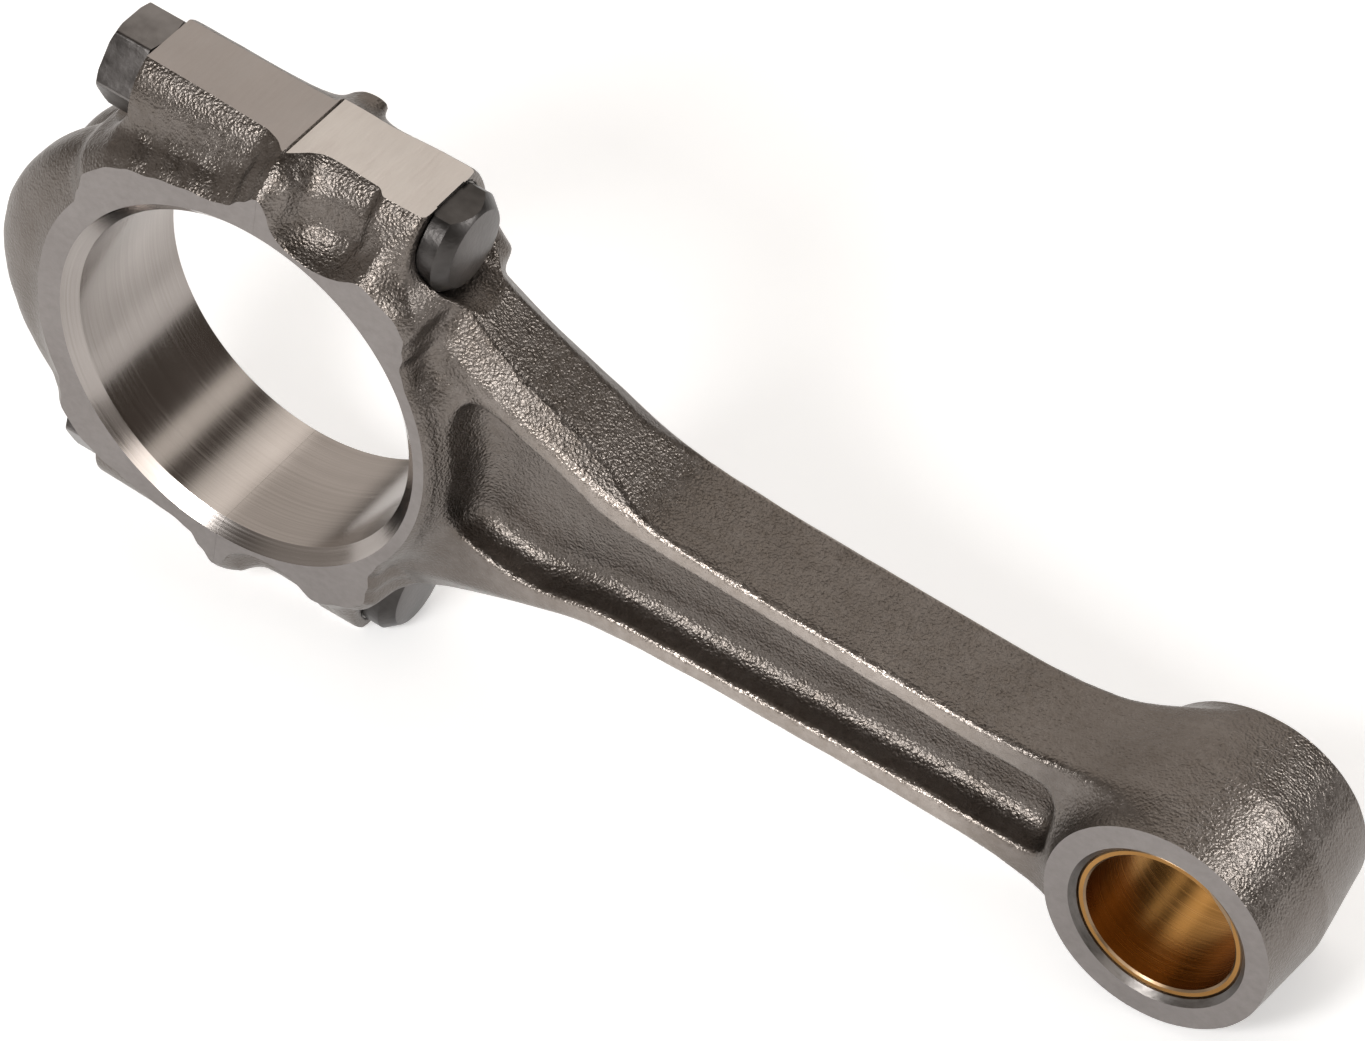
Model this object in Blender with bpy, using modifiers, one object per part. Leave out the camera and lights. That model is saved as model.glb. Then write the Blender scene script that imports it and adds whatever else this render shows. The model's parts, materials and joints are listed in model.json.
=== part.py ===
"""Connecting rod of a large V8 engine: forged rod, bolted cap, small-end bush, two bolts and two nuts.

The rod is modelled in its own frame: origin in the middle of the big end, X towards the small end,
Y along the bores, Z along the line that joins the two bolts. An empty then lays the whole rod on its
edge, tilted so that the lower bolt head and the small end rest on Z = 0.
"""

import math

import bmesh
import bpy
from mathutils import Vector

# Driving dimensions, in metres.
BORE_R = 0.0295            # big-end bore, 59 mm
CENTRES = 0.1568           # big-end centre to small-end centre
RING_NEAR_Y = -0.0145      # crank-cheek side of the big end
RING_FAR_Y = 0.0111        # side that runs against the neighbouring rod
CHAMFER_R = 0.0316         # crank-fillet chamfer, on the near side only
CHAMFER_DEPTH = 0.0020
CORNER_BREAK = 0.0003      # small edge break on the far side of the bore
EYE_HALF_WIDTH = 0.0145    # small end, half its width
EYE_FACE_R = 0.0176        # small end at its machined faces
EYE_MID_R = 0.0190         # small end at the forging's parting plane
EYE_SHOULDER_R = 0.0186    # small end half way between the two
BUSH_BORE_R = 0.0117
BUSH_OUTER_R = 0.0130
BUSH_RECESS = 0.0010       # how far the bush stands back from the eye's faces
BUSH_EDGE = 0.0004         # lead-in at each end of the bush
EYE_CHAMFER_R = 0.0138
BOLT_Z = 0.0362            # bolt axis above the bore axis
BOLT_R = 0.00476           # 3/8 in shank
BOSS_FLAT_Z = 0.0436       # machined outer flats of the bolt bosses
NUT_SEAT_X = -0.0262
HEAD_SEAT_X = 0.0225
NUT_ACROSS_FLATS = 0.0143  # 9/16 in
NUT_HEIGHT = 0.0069
NUT_CORNER = 0.0013        # chamfer of the hexagon's outer corners
BOLT_END = 0.0008          # thread standing out of the nut
BOLT_POINT = 0.0007        # chamfer at the bolt's end
HEAD_R = 0.0080
HEAD_RIM = 0.0034
HEAD_HEIGHT = 0.0054
HEAD_TOP_R = 0.0062
HEAD_FLAT = 0.0067         # locating flat of the head, from the bolt axis
CAP_GROOVE = 0.0026        # depth of the groove between the cap's two ribs
CAP_GROOVE_HALF_Y = 0.0022
CAP_CORE_HALF_Y = 0.0080
CAP_RIB_HALF_Y = 0.0098
CAP_RIB_EDGE = 0.0018      # rounding of the ribs' edges
CAP_FAR_RIB_STEP = 0.0013  # the far rib stands a little lower than the near one
BEAM_HALF_Y = 0.0087       # half the beam's width along the bores
WEB_HALF_Y = 0.0027        # half the web's thickness
GAP = 0.0003               # between two pieces that touch
TILT = math.radians(10.35) # of the rod as it rests on its edge

# Bolt bosses: a narrow machined flat outside and a wide root in the ring.
BOSS_HALF_WIDTH = 0.0064   # flat's half width at the parting face and on the rod
BOSS_TIP_HALF_WIDTH = 0.0046
BOSS_FLARE = 0.0028        # how much wider the boss is below its flat
BOSS_WAIST_Z = 0.0380
BOSS_ROOT_HALF_WIDTH = 0.0100
BOSS_ROOT_Z = 0.0285
HEAD_CLEARANCE = 0.0006    # round the bolt heads, in the forging
SPOT_FACE_R = 0.0090       # machined seat under each nut

# Corner bevels of the beam: wide beside the big end, fading to a small edge.
CORNER_DROP = 0.0031
CORNER_DROP_LEAST = 0.0008
CORNER_FADES_FROM = 0.036
CORNER_FADES_OVER = 0.026
CORNER_SLOPE = 1.1         # inset across the beam for each unit of drop

BEYOND = 0.002             # how far a cutter runs past the face that it opens
REACH = 0.06               # half length of the cutters that go right through

# Height of the beam's outer edge at stations along its length.
BEAM_EDGE = (
    (0.0240, 0.0343), (0.0280, 0.0316), (0.0315, 0.0287), (0.0355, 0.0254), (0.0404, 0.0227),
    (0.0455, 0.0203), (0.0515, 0.0178), (0.0580, 0.0148), (0.0640, 0.0128), (0.0710, 0.0117),
    (0.0800, 0.0113), (0.0900, 0.0110), (0.1000, 0.0107), (0.1140, 0.0102), (0.1270, 0.0101),
    (0.1330, 0.0112), (0.1375, 0.0127), (0.1415, 0.0141), (0.1460, 0.0150),
)
# Half height of the beam's side pockets along their length.
POCKET_EDGE = (
    (0.0352, 0.0070), (0.0346, 0.0118), (0.0362, 0.0148), (0.0420, 0.0151), (0.0480, 0.0141),
    (0.0540, 0.0128), (0.0600, 0.0110), (0.0670, 0.0094), (0.0750, 0.0085), (0.0880, 0.0081),
    (0.1050, 0.0078), (0.1200, 0.0075), (0.1310, 0.0073), (0.1355, 0.0064), (0.1380, 0.0045),
)
# Wall of a side pocket: distance from the middle plane, and how far the wall leans inwards there.
POCKET_WALL = ((WEB_HALF_Y, 0.0030), (0.0045, 0.0012), (BEAM_HALF_Y + BEYOND, -0.0012))
POCKET_EDGE_FULL = 0.0075  # half height from which the whole lean applies

CIRCLE = 96                # sides of the large round shapes


def clear_scene():
    for old in list(bpy.data.objects):
        bpy.data.objects.remove(old, do_unlink=True)


def new_collection(name):
    found = bpy.data.collections.new(name)
    bpy.context.scene.collection.children.link(found)
    return found


def material(name, colour, metallic, roughness):
    made = bpy.data.materials.new(name)
    made.use_nodes = True
    shader = made.node_tree.nodes["Principled BSDF"]
    shader.inputs["Base Color"].default_value = (*colour, 1.0)
    shader.inputs["Metallic"].default_value = metallic
    shader.inputs["Roughness"].default_value = roughness
    made.diffuse_color = (*colour, 1.0)
    return made


def add_object(name, mesh, collection, parent):
    made = bpy.data.objects.new(name, mesh)
    collection.objects.link(made)
    made.parent = parent
    return made


def helper(name, bm):
    """A cutter, or a shape that a union takes in: drawn as wire and never rendered."""
    bmesh.ops.recalc_face_normals(bm, faces=bm.faces)
    mesh = bpy.data.meshes.new(name)
    bm.to_mesh(mesh)
    bm.free()
    made = add_object(name, mesh, CUTTERS, REST)
    made.hide_render = True
    made.display_type = "WIRE"
    return made


def boolean(target, other, operation):
    step = target.modifiers.new(operation.lower() + "_" + other.name, "BOOLEAN")
    step.operation = operation
    step.solver = "EXACT"
    step.object = other


def bevel(target, width, segments=2, angle=30.0):
    step = target.modifiers.new("rounded_edges", "BEVEL")
    step.width = width
    step.segments = segments
    step.limit_method = "ANGLE"
    step.angle_limit = math.radians(angle)
    step.use_clamp_overlap = True


def lofted(sections):
    """Closed skin through sections that all have the same number of points."""
    bm = bmesh.new()
    rings = [[bm.verts.new(point) for point in section] for section in sections]
    count = len(rings[0])
    for before, after in zip(rings, rings[1:]):
        for i in range(count):
            j = (i + 1) % count
            bm.faces.new((before[i], before[j], after[j], after[i]))
    bm.faces.new(rings[0])
    bm.faces.new(list(reversed(rings[-1])))
    return bm


def plate(outline, y_low, y_high):
    """Flat outline in the XZ plane, given thickness along Y."""
    return lofted([[(x, y, z) for x, z in outline] for y in (y_low, y_high)])


def turned(profile, centre_x, centre_z=0.0, sides=CIRCLE):
    """Solid of revolution about the Y direction from (radius, y) pairs."""
    sections = []
    for radius, y in profile:
        turns = [math.tau * i / sides for i in range(sides)]
        sections.append([
            (centre_x + radius * math.cos(a), y, centre_z + radius * math.sin(a)) for a in turns
        ])
    return lofted(sections)


def along_bolt(profile, centre_z, sides=48):
    """Solid of revolution about a bolt axis from (radius, x) pairs."""
    sections = []
    for radius, x in profile:
        turns = [math.tau * i / sides for i in range(sides)]
        sections.append([
            (x, radius * math.cos(a), centre_z + radius * math.sin(a)) for a in turns
        ])
    return lofted(sections)


def box(low, high):
    bm = bmesh.new()
    bmesh.ops.create_cube(bm, size=1.0)
    size = Vector(high) - Vector(low)
    middle = (Vector(high) + Vector(low)) / 2
    for vertex in bm.verts:
        vertex.co = middle + Vector(vertex.co[i] * size[i] for i in range(3))
    return bm


def eased(value):
    value = min(max(value, 0.0), 1.0)
    return value * value * (3 - 2 * value)


def ring_radius(angle):
    """Outer edge of the big end's thrust faces, angle in degrees from the beam: wings and notches."""
    angle = abs(angle)
    steps = (
        (35, 0.0336), (39, 0.0345), (46, 0.0392), (65, 0.0394), (70, 0.0350), (82, 0.0354),
        (86, 0.0384), (93, 0.0384), (98, 0.0356), (111, 0.0357), (119, 0.0380), (137, 0.0382),
        (148, 0.0354), (180, 0.0353),
    )
    before = steps[0]
    if angle <= before[0]:
        return before[1]
    for after in steps[1:]:
        if angle <= after[0]:
            share = eased((angle - before[0]) / (after[0] - before[0]))
            return before[1] + share * (after[1] - before[1])
        before = after
    return before[1]


def ring_outline(first, last, step=3):
    """Half of the big end's outline, closed along the parting plane."""
    points = []
    for degrees in range(first, last + 1, step):
        a = math.radians(degrees)
        signed = (degrees + 180) % 360 - 180
        points.append((ring_radius(signed) * math.cos(a), ring_radius(signed) * math.sin(a)))
    return points


def mirrored(edge):
    """Closed outline from (x, half height) pairs, the same above and below the X axis."""
    return list(edge) + [(x, -z) for x, z in reversed(edge)]


def boss(name, x_start, x_end, width_start, width_end, side):
    """Tapered bolt boss: narrow machined flat outside, wide root in the ring."""
    sections = []
    for x, top in ((x_start, width_start), (x_end, width_end)):
        half = [
            (top, BOSS_FLAT_Z), (top + BOSS_FLARE, BOSS_WAIST_Z),
            (BOSS_ROOT_HALF_WIDTH, BOSS_ROOT_Z),
        ]
        section = [(x, y, side * z) for y, z in half]
        section += [(x, -y, side * z) for y, z in reversed(half)]
        sections.append(section)
    return helper(name, lofted(sections))


def beam_sections():
    """Cross-sections of the beam: its outer corners are bevelled near the big end."""
    sections = []
    for x, height in BEAM_EDGE:
        fading = 1 - eased((x - CORNER_FADES_FROM) / CORNER_FADES_OVER)
        drop = max(CORNER_DROP * fading, CORNER_DROP_LEAST)
        inset = drop * CORNER_SLOPE
        half = [
            (BEAM_HALF_Y, 0.0), (BEAM_HALF_Y, height - drop), (BEAM_HALF_Y - inset, height),
        ]
        upper = half + [(-y, z) for y, z in reversed(half)]
        lower = [(-y, -z) for y, z in upper[1:-1]]
        sections.append([(x, y, z) for y, z in upper + lower])
    return sections


def pocket(name, side):
    """Side pocket of the I-beam: its walls lean outwards and its floor is the web."""
    middle = (POCKET_EDGE[0][0] + POCKET_EDGE[-1][0]) / 2
    reach = (POCKET_EDGE[-1][0] - POCKET_EDGE[0][0]) / 2
    sections = []
    for y, shrink in POCKET_WALL:
        outline = []
        for x, half in mirrored(POCKET_EDGE):
            moved = x - (x - middle) / reach * shrink
            lean = math.copysign(shrink, half) * min(1.0, abs(half) / POCKET_EDGE_FULL)
            outline.append((moved, side * y, half - lean))
        sections.append(outline)
    return helper(name, lofted(sections))


def bore_cutter():
    profile = [
        (CHAMFER_R + BEYOND, RING_NEAR_Y - BEYOND * CHAMFER_DEPTH / (CHAMFER_R - BORE_R)),
        (BORE_R, RING_NEAR_Y + CHAMFER_DEPTH),
        (BORE_R, RING_FAR_Y - CORNER_BREAK),
        (BORE_R + CORNER_BREAK + BEYOND, RING_FAR_Y + BEYOND),
    ]
    return helper("big_end_bore_cutter", turned(profile, 0.0))


def eye_cutter():
    depth = EYE_CHAMFER_R - BUSH_OUTER_R - GAP
    hole = BUSH_OUTER_R + GAP
    edge = EYE_HALF_WIDTH
    profile = [
        (EYE_CHAMFER_R + BEYOND, -edge - BEYOND),
        (hole, -edge + depth),
        (hole, edge - depth),
        (EYE_CHAMFER_R + BEYOND, edge + BEYOND),
    ]
    return helper("small_end_bore_cutter", turned(profile, CENTRES))


def bolt_hole(name, side):
    hole = BOLT_R + GAP
    return helper(name, along_bolt([(hole, -REACH), (hole, REACH)], side * BOLT_Z, 32))


def build_rod_body():
    """Forged rod: half of the big end, two bolt bosses, I-beam and small-end eye."""
    outline = ring_outline(-90, 90)
    bm = plate(outline, RING_NEAR_Y, RING_FAR_Y)
    bmesh.ops.recalc_face_normals(bm, faces=bm.faces)
    mesh = bpy.data.meshes.new("rod_body")
    bm.to_mesh(mesh)
    bm.free()
    rod = add_object("rod_body", mesh, PART, REST)
    beam = helper("beam_blank", lofted(beam_sections()))
    boolean(rod, beam, "UNION")
    for side, word in ((1, "upper"), (-1, "lower")):
        block = boss("rod_boss_" + word, 0.0, HEAD_SEAT_X, BOSS_HALF_WIDTH, BOSS_HALF_WIDTH, side)
        boolean(rod, block, "UNION")
    profile = [
        (EYE_FACE_R, -EYE_HALF_WIDTH), (EYE_SHOULDER_R, -EYE_HALF_WIDTH / 2), (EYE_MID_R, 0.0),
        (EYE_SHOULDER_R, EYE_HALF_WIDTH / 2), (EYE_FACE_R, EYE_HALF_WIDTH),
    ]
    boolean(rod, helper("eye_blank", turned(profile, CENTRES, sides=72)), "UNION")
    for side, word in ((1, "far"), (-1, "near")):
        boolean(rod, pocket("pocket_" + word, side), "DIFFERENCE")
    for side, word in ((1, "upper"), (-1, "lower")):
        boolean(rod, bolt_hole("rod_bolt_hole_" + word, side), "DIFFERENCE")
        room = HEAD_R + HEAD_CLEARANCE
        seat = along_bolt([(room, HEAD_SEAT_X), (room, REACH)], side * BOLT_Z)
        boolean(rod, helper("head_seat_" + word, seat), "DIFFERENCE")
    boolean(rod, BORE_CUT, "DIFFERENCE")
    boolean(rod, eye_cutter(), "DIFFERENCE")
    joint_face = helper("rod_joint_face", box((-REACH, -REACH, -REACH), (GAP / 2, REACH, REACH)))
    boolean(rod, joint_face, "DIFFERENCE")
    return rod


def cap_back(inset=0.0):
    """Outline of the cap's back, from the parting plane round to the middle of the arch."""
    edge = [
        (0.002, 0.0365), (-0.0300, 0.0262), (-0.0340, 0.0244), (-0.0383, 0.0204),
        (-0.0413, 0.0167), (-0.0442, 0.0112), (-0.0460, 0.0058), (-0.0467, 0.0),
    ]
    moved = []
    for x, z in edge:
        reach = math.hypot(x, z)
        share = (reach - inset) / reach
        moved.append((x * share, z * share))
    lower = [(x, -z) for x, z in reversed(moved[:-1])]
    return moved + lower


def build_rod_cap():
    """Forged cap: the other half of the big end, with two ribs round its back."""
    bm = plate(ring_outline(90, 270), RING_NEAR_Y, RING_FAR_Y)
    bmesh.ops.recalc_face_normals(bm, faces=bm.faces)
    mesh = bpy.data.meshes.new("rod_cap")
    bm.to_mesh(mesh)
    bm.free()
    cap = add_object("rod_cap", mesh, PART, REST)
    core = helper("cap_core", plate(cap_back(CAP_GROOVE), -CAP_CORE_HALF_Y, CAP_CORE_HALF_Y))
    boolean(cap, core, "UNION")
    for side, word, inset in ((1, "far", CAP_FAR_RIB_STEP), (-1, "near", 0.0)):
        low, high = sorted((side * CAP_GROOVE_HALF_Y, side * CAP_RIB_HALF_Y))
        rib = helper("cap_rib_" + word, plate(cap_back(inset), low, high))
        bevel(rib, CAP_RIB_EDGE, 2, 50.0)
        boolean(cap, rib, "UNION")
    for side, word in ((1, "upper"), (-1, "lower")):
        widths = (BOSS_TIP_HALF_WIDTH, BOSS_HALF_WIDTH)
        block = boss("cap_boss_" + word, NUT_SEAT_X, 0.0, *widths, side)
        boolean(cap, block, "UNION")
        spot = along_bolt([(SPOT_FACE_R, -REACH), (SPOT_FACE_R, NUT_SEAT_X)], side * BOLT_Z, 32)
        boolean(cap, helper("nut_spot_face_" + word, spot), "DIFFERENCE")
        boolean(cap, bolt_hole("cap_bolt_hole_" + word, side), "DIFFERENCE")
    boolean(cap, BORE_CUT, "DIFFERENCE")
    joint_face = helper("cap_joint_face", box((-GAP / 2, -REACH, -REACH), (REACH, REACH, REACH)))
    boolean(cap, joint_face, "DIFFERENCE")
    return cap


def build_bush():
    """Split-free bronze bush, pressed into the small end and bored in place."""
    half = EYE_HALF_WIDTH - BUSH_RECESS
    edge = BUSH_EDGE
    bm = turned([
        (BUSH_OUTER_R - edge, -half), (BUSH_OUTER_R, -half + edge),
        (BUSH_OUTER_R, half - edge), (BUSH_OUTER_R - edge, half),
    ], 0.0)
    bmesh.ops.recalc_face_normals(bm, faces=bm.faces)
    mesh = bpy.data.meshes.new("small_end_bush")
    bm.to_mesh(mesh)
    bm.free()
    bush = add_object("small_end_bush", mesh, PART, REST)
    bush.location = (CENTRES, 0.0, 0.0)
    through = [(BUSH_BORE_R, -REACH), (BUSH_BORE_R, REACH)]
    cutter = helper("bush_bore_cutter", turned(through, CENTRES))
    boolean(bush, cutter, "DIFFERENCE")
    return bush


def build_bolt(word, side):
    """Rod bolt: round head with a locating flat, shank and threaded end through the nut."""
    seat = HEAD_SEAT_X + GAP
    tip = NUT_SEAT_X - NUT_HEIGHT - BOLT_END - seat
    bm = along_bolt([
        (BOLT_R - BOLT_POINT, tip), (BOLT_R, tip + BOLT_POINT), (BOLT_R, 0.0),
        (HEAD_R, 0.0), (HEAD_R, HEAD_RIM), (HEAD_TOP_R, HEAD_HEIGHT),
    ], 0.0)
    bmesh.ops.recalc_face_normals(bm, faces=bm.faces)
    mesh = bpy.data.meshes.new("rod_bolt_" + word)
    bm.to_mesh(mesh)
    bm.free()
    bolt = add_object("rod_bolt_" + word, mesh, PART, REST)
    bolt.location = (seat, 0.0, side * BOLT_Z)
    low, high = sorted((side * (BOLT_Z + HEAD_FLAT), side * REACH))
    beside_flat = box((seat - GAP, -REACH, low), (REACH, REACH, high))
    boolean(bolt, helper("head_flat_" + word, beside_flat), "DIFFERENCE")
    return bolt


def build_nut(word, side):
    """Plain hexagon nut with its outer corners chamfered and one flat facing outwards."""
    corner = NUT_ACROSS_FLATS / math.sqrt(3)
    half = (NUT_HEIGHT - GAP) / 2
    bm = along_bolt([(corner, -half), (corner, half)], 0.0, 6)
    bmesh.ops.recalc_face_normals(bm, faces=bm.faces)
    mesh = bpy.data.meshes.new("rod_nut_" + word)
    bm.to_mesh(mesh)
    bm.free()
    nut = add_object("rod_nut_" + word, mesh, PART, REST)
    nut.location = (NUT_SEAT_X - GAP - half, 0.0, side * BOLT_Z)
    outer_face = NUT_SEAT_X - NUT_HEIGHT
    wide = corner + BEYOND
    dome = along_bolt([
        (wide, NUT_SEAT_X + BEYOND), (wide, outer_face + NUT_CORNER + BEYOND),
        (corner - NUT_CORNER - BEYOND, outer_face - BEYOND),
    ], side * BOLT_Z, 36)
    boolean(nut, helper("nut_corners_" + word, dome), "INTERSECT")
    boolean(nut, bolt_hole("nut_hole_" + word, side), "DIFFERENCE")
    return nut


def shade(obj, degrees=35.0):
    obj.data.shade_smooth()
    obj.data.set_sharp_from_angle(angle=math.radians(degrees))


def stand_on_floor(objects):
    """Moves the resting pose so that the whole rod's box is centred on the origin and stands on Z = 0."""
    bpy.context.view_layer.update()
    graph = bpy.context.evaluated_depsgraph_get()
    corners = []
    for obj in objects:
        evaluated = obj.evaluated_get(graph)
        mesh = evaluated.to_mesh()
        corners += [evaluated.matrix_world @ vertex.co for vertex in mesh.vertices]
        evaluated.to_mesh_clear()
    low = [min(corner[i] for corner in corners) for i in range(3)]
    high = [max(corner[i] for corner in corners) for i in range(3)]
    REST.location = (-(low[0] + high[0]) / 2, -(low[1] + high[1]) / 2, -low[2])


clear_scene()
PART = new_collection("connecting_rod")
CUTTERS = new_collection("cutters")
REST = bpy.data.objects.new("resting_pose", None)
PART.objects.link(REST)
REST.rotation_euler = (0.0, TILT, 0.0)

BORE_CUT = bore_cutter()
forged = material("forged_steel", (0.16, 0.14, 0.125), 0.85, 0.42)
bronze = material("bush_bronze", (0.55, 0.30, 0.10), 0.95, 0.30)
black_oxide = material("black_oxide_steel", (0.07, 0.07, 0.072), 0.80, 0.38)

pieces = [(build_rod_body(), forged), (build_rod_cap(), forged), (build_bush(), bronze)]
for side_sign, side_word in ((1, "upper"), (-1, "lower")):
    pieces.append((build_bolt(side_word, side_sign), black_oxide))
    pieces.append((build_nut(side_word, side_sign), black_oxide))
for piece, finish in pieces:
    piece.data.materials.append(finish)
    shade(piece)
stand_on_floor([piece for piece, finish in pieces])
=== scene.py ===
"""Looks of the connecting rod: forged surfaces grown from a distance field, then machined with exact cutters.

Shapes are worked out in the rod's own frame, in millimetres: origin in the middle of the big end, X towards
the small end, Y along the bores (the viewer is on the -Y side), Z towards the upper bolt. put_on_body()
carries them into the row frame.
"""

import json
import math
from contextlib import contextmanager

import bmesh
import bpy
import numpy as np
import openvdb
from mathutils import Matrix, Vector


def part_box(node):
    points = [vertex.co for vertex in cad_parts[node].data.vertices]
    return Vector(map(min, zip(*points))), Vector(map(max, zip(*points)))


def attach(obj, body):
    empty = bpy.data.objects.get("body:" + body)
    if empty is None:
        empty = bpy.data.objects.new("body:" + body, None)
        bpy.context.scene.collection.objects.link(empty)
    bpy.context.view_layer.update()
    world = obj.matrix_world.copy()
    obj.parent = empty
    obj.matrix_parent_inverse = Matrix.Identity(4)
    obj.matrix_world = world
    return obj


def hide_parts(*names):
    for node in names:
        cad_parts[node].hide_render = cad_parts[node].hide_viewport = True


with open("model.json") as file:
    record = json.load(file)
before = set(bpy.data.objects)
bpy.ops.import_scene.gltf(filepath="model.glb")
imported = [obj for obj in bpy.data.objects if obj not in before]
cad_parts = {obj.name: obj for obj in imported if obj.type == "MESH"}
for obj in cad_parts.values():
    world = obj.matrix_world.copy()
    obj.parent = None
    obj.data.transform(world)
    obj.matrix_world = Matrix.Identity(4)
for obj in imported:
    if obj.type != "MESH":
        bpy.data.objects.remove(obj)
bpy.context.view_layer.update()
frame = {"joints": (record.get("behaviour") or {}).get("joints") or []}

# Driving dimensions, in millimetres.
BORE_R = 29.5
CENTRES = 156.8
NEAR_Y = -14.5             # machined near face, of the big end and of the small end
RING_FAR_Y = 11.1
EYE_FAR_Y = 14.5
CHAMFER_R = 31.6
CHAMFER_DEPTH = 2.0
EYE_FACE_R = 17.6
EYE_MID_R = 19.0
BUSH_BORE_R = 11.7
BUSH_OUTER_R = 13.0
BUSH_RECESS = 1.0
EYE_CHAMFER_R = 13.9
FAR_BREAK = 0.3            # broken far edge of the big end's bore
BOLT_Z = 36.2
BOLT_R = 4.7625
BOLT_HOLE_R = BOLT_R + 0.2
FLAT_Z = 43.6              # machined outer flats of the bolt bosses
NUT_SEAT_X = -26.2
NUT_SEAT_R = 9.4
NUT_HEIGHT = 6.9
NUT_FLATS = 14.3           # across the flats
NUT_HOLE_R = 5.35
HEAD_SEAT_X = 22.5
HEAD_SEAT_R = 8.15
HEAD_FLAT = 6.7            # from the bolt's axis to the locating flat of its head
THREAD_PITCH = 1.058       # 24 threads to the inch
THREAD_START_X = -8.0
BEAM_HALF_Y = 8.7
BEAM_START_X = 14.0        # inside the big end's ring
BEAM_END_X = 165.0         # inside the eye
WEB_HALF_Y = 2.7
PITCH = 0.5                # of the distance field's grid
MARGIN = 1.2               # stock that the machined faces take off
SEAM_BREAK = 0.17          # broken edge of the parting line
FIT = 0.02                 # gap between pieces that touch
SLIVER = 0.002             # shortest edge that is kept
FINE = 0.02                # how far a machined face may lie from its nominal place
COARSE = 0.03              # the same, on a cone or a cylinder

# The grid of the forgings' distance field: it holds both forgings with their stock.
GRID_LOW = (-51.0, -17.0, -48.0)
GRID_HIGH = (179.0, 17.5, 48.5)
BAND = 3.0                 # distances beyond it don't matter to the surface
FAR_AWAY = 9.0             # stands for no surface nearby

# Rod frame in the row frame, from the bolts' direction and the middle of the bush.
JOINTS = {joint["name"]: joint for joint in frame["joints"]}
ROD_X = Vector(JOINTS["upper_bolt_out"]["axis"]).normalized()
ROD_Y = Vector((0.0, 1.0, 0.0))
ROD_Z = ROD_X.cross(ROD_Y)
BUSH_LOW, BUSH_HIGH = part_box("small_end_bush")
MM = 0.001
TO_ROW = Matrix.Translation((BUSH_LOW + BUSH_HIGH) / 2 - ROD_X * CENTRES * MM)
TO_ROW = TO_ROW @ Matrix((ROD_X * MM, ROD_Y * MM, ROD_Z * MM)).transposed().to_4x4()


# ---------------------------------------------------------------- field tools

def soft_min(a, b, width):
    """Smaller of two distances, with a fillet about as wide as width."""
    share = np.clip(0.5 + 0.5 * (b - a) / width, 0.0, 1.0)
    return b + (a - b) * share - width * share * (1.0 - share)


def soft_max(a, b, width):
    return -soft_min(-a, -b, width)


def eased(value):
    value = np.clip(value, 0.0, 1.0)
    return value * value * (3.0 - 2.0 * value)


def eased_steps(position, steps):
    """Curve through (position, value) pairs, level at each pair."""
    places, values = np.array(steps, np.float32).T
    position = np.clip(position, places[0], places[-1])
    after = np.clip(np.searchsorted(places, position, side="right"), 1, len(places) - 1)
    span = places[after] - places[after - 1]
    share = eased((position - places[after - 1]) / span)
    return values[after - 1] + (values[after] - values[after - 1]) * share


def smooth_curve(position, steps):
    """Smooth curve through (position, value) pairs: straight stretches with their corners averaged out."""
    places, values = zip(*steps)
    fine = np.arange(places[0] - 8.0, places[-1] + 8.0, 0.25)
    line = np.interp(fine, places, values)
    window = np.hanning(33)
    line = np.convolve(np.pad(line, 16, mode="edge"), window / window.sum(), mode="valid")
    return np.interp(position, fine, line).astype(np.float32)


def lumps(shape, cell, seed):
    """Smooth random field between -1 and 1 whose lumps are cell grid steps wide."""
    rng = np.random.default_rng(seed)
    coarse = rng.uniform(-1.0, 1.0, [int(n / cell) + 3 for n in shape]).astype(np.float32)
    field = coarse
    for axis, count in enumerate(shape):
        place = np.arange(count, dtype=np.float32) / cell
        base = place.astype(int)
        share = eased(place - base)
        form = [1, 1, 1]
        form[axis] = count
        share = share.reshape(form).astype(np.float32)
        first = np.take(field, base, axis=axis)
        second = np.take(field, base + 1, axis=axis)
        field = first + (second - first) * share
    return field


# ---------------------------------------------------------------- forging

# Outer edge of the big end's near and far faces: (angle from the beam in degrees, radius).
NEAR_EDGE = (
    (0, 33.5), (33, 33.6), (39, 34.4), (43, 36.6), (47, 38.6), (51, 39.1), (57, 38.5), (63, 38.8),
    (66, 37.4), (69, 35.2), (73, 34.4), (78, 34.4), (82, 35.1), (86, 37.6), (90, 38.6), (94, 36.6),
    (98, 34.7), (103, 34.3), (111, 35.0), (120, 36.1), (127, 37.6), (133, 38.4), (140, 38.4),
    (145, 36.6), (149, 35.3), (160, 35.2), (180, 35.2),
)
FAR_EDGE = (
    (0, 34.0), (33, 34.0), (40, 35.0), (46, 39.6), (63, 40.0), (68, 37.6), (72, 36.4), (78, 36.6),
    (84, 37.4), (90, 37.6), (95, 36.9), (100, 36.4), (110, 36.2), (120, 37.2), (133, 38.2),
    (142, 38.0), (149, 35.6), (180, 35.4),
)
# How far the flanks slope outwards below those edges.
EDGE_REACH = (
    (0, 0.6), (38, 0.6), (43, 0.8), (49, 1.5), (63, 1.8), (69, 2.2), (79, 2.2), (84, 2.6), (88, 3.6),
    (93, 3.4), (98, 1.8), (106, 1.4), (120, 1.6), (130, 2.0), (140, 2.0), (150, 1.2), (180, 1.2),
)
FAR_REACH = 1.7            # most of it on the far side
RING_DRAFT = 0.14
# Radius of the bolt bosses along the rod: (distance from the parting face, radius).
BOSS_RADIUS = (
    (-30.0, 9.2), (-24.0, 9.3), (-16.0, 9.4), (-9.0, 9.6), (-4.0, 9.7), (-0.6, 9.9), (1.0, 9.3),
    (3.0, 9.0), (8.0, 9.0), (14.4, 9.2), (15.6, 10.0), (24.0, 9.9),
)
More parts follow.
